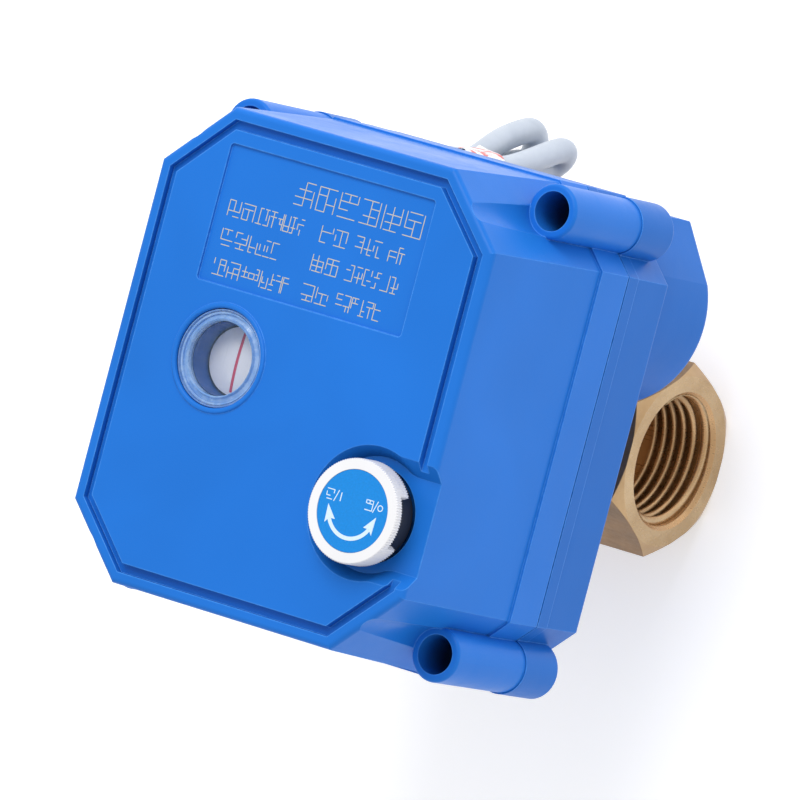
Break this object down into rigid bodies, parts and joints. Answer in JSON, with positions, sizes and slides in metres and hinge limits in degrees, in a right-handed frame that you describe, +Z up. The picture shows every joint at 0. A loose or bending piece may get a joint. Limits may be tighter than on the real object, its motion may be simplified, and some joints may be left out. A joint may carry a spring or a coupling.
{
  "type": "motorized ball valve actuator",
  "caption": "Eight-sided blue actuator housing with a position window and a knurled manual knob, on a brass ball valve with threaded ports and a tied lead.",
  "frame": {"origin": "centre of the ball, where the flow axis crosses the stem axis", "axes": "+X along the flow towards the open port, +Y towards the side where the cable hangs, +Z up the stem towards the cover's window"},
  "size_m": [0.0756, 0.0845, 0.1012],
  "materials": {
    "blue_cover": "satin moulded ABS",
    "blue_base": "satin moulded ABS",
    "clear_lens": "clear moulded plastic",
    "clear_silicone": "pale translucent silicone",
    "gasket_rubber": "matt",
    "white_plastic": "satin",
    "black_plastic": "matt",
    "knob_sticker": "printed film",
    "red_line": "printed",
    "brass": "cast and machined",
    "chrome_ball": "polished",
    "steel": "zinc plated",
    "gear_plastic": "moulded acetal",
    "gear_metal": "sintered",
    "bronze": "sintered bronze",
    "ptfe": "waxy",
    "board_green": "solder mask",
    "components": "moulded",
    "motor_metal": "plated",
    "core_wire": "insulation",
    "tinned_wire": "tinned copper",
    "grey_cable": "soft vinyl",
    "paper": "thin paper with faint red marks"
  },
  "bodies": {
    "housing": {"top_cover": "blue_cover", "base_shell": "blue_base", "housing_gasket": "gasket_rubber", "housing_screws": "steel", "window_lens": "clear_lens", "window_seal": "clear_silicone", "knob_seal": "gasket_rubber", "idler_pins": "steel", "idler_clips": "steel", "motor_can": "motor_metal", "motor_gearhead": "motor_metal", "motor_screws": "steel", "gear_plate": "steel", "plate_standoffs": "steel", "plate_screws": "steel", "output_bushes": "bronze", "shaft_seal": "gasket_rubber", "circuit_board": "board_green", "board_components": "components", "board_standoffs": "steel", "board_screws": "steel", "limit_switches": "components", "inner_leads": "core_wire", "valve_body": "brass", "valve_end_piece": "brass", "ball_seats": "ptfe", "mounting_screws": "steel", "cable_gland": "black_plastic", "cable": "grey_cable", "cable_hank": "grey_cable", "cable_tag": "paper", "wire_ends": "core_wire", "wire_tips": "tinned_wire"},
    "output": {"output_gear": "gear_plastic", "output_shaft": "steel", "closed_cam": "black_plastic", "open_cam": "black_plastic", "position_indicator": "white_plastic", "indicator_line": "red_line", "ball": "chrome_ball", "stem": "brass", "stem_o_rings": "gasket_rubber", "stem_washer": "ptfe"},
    "motor_drive": {"motor_pinion": "gear_metal", "motor_shaft": "steel"},
    "motor_idler": {"idler_gear_motor": "gear_plastic"},
    "knob_idler": {"idler_gear_knob": "gear_plastic"},
    "knob_drive": {"knob_gear": "gear_metal", "knob_spring": "steel"},
    "knob": {"knob_cap": "white_plastic", "knob_core": "black_plastic", "knob_label": "knob_sticker", "knob_shaft": "steel", "knob_clip": "steel"},
    "closed_lever": {"closed_switch_lever": "steel"},
    "open_lever": {"open_switch_lever": "steel"}
  },
  "joints": [
    {"name": "output_turn", "type": "hinge", "parent": "housing", "child": "output", "pos_m": [0, 0, 0.05], "axis": [0, 0, 1], "range_deg": [0, 90]},
    {"name": "motor_idler_turn", "type": "hinge", "parent": "housing", "child": "motor_idler", "pos_m": [0.01352, 0.01885, 0.053], "axis": [0, 0, 1], "range_deg": [-171.5, 0.5]},
    {"name": "motor_turn", "type": "hinge", "parent": "housing", "child": "motor_drive", "pos_m": [0.0259, 0.0221, 0.053], "axis": [0, 0, 1], "range_deg": [-1, 286]},
    {"name": "knob_idler_turn", "type": "hinge", "parent": "housing", "child": "knob_idler", "pos_m": [0.01962, -0.01312, 0.053], "axis": [0, 0, 1], "range_deg": [-163.5, 0.5]},
    {"name": "knob_turn", "type": "hinge", "parent": "housing", "child": "knob_drive", "pos_m": [0.0325, -0.016, 0.053], "axis": [0, 0, 1], "range_deg": [-1, 286]},
    {"name": "knob_press", "type": "slide", "parent": "knob_drive", "child": "knob", "axis": [0, 0, -1], "range_m": [0, 0.0012], "stiffness_N_per_m": 300, "springref_m": -0.004, "deforming": ["knob_spring"]},
    {"name": "closed_lever_press", "type": "hinge", "parent": "housing", "child": "closed_lever", "pos_m": [-0.0056, 0.0124, 0.06], "axis": [0, 0, 1], "range_deg": [0, 3.5], "stiffness_Nm_per_rad": 0.0003, "springref_deg": -4.98},
    {"name": "open_lever_press", "type": "hinge", "parent": "housing", "child": "open_lever", "pos_m": [-0.0056, 0.0124, 0.064], "axis": [0, 0, 1], "range_deg": [0, 3.5], "stiffness_Nm_per_rad": 0.0003, "springref_deg": -4.98}
  ],
  "couplings": [
    {"joint": "motor_idler_turn", "follows": "output_turn", "ratio": -1.9},
    {"joint": "motor_turn", "follows": "output_turn", "ratio": 3.1667},
    {"joint": "knob_idler_turn", "follows": "output_turn", "ratio": -1.8095},
    {"joint": "knob_turn", "follows": "output_turn", "ratio": 3.1667}
  ]
}
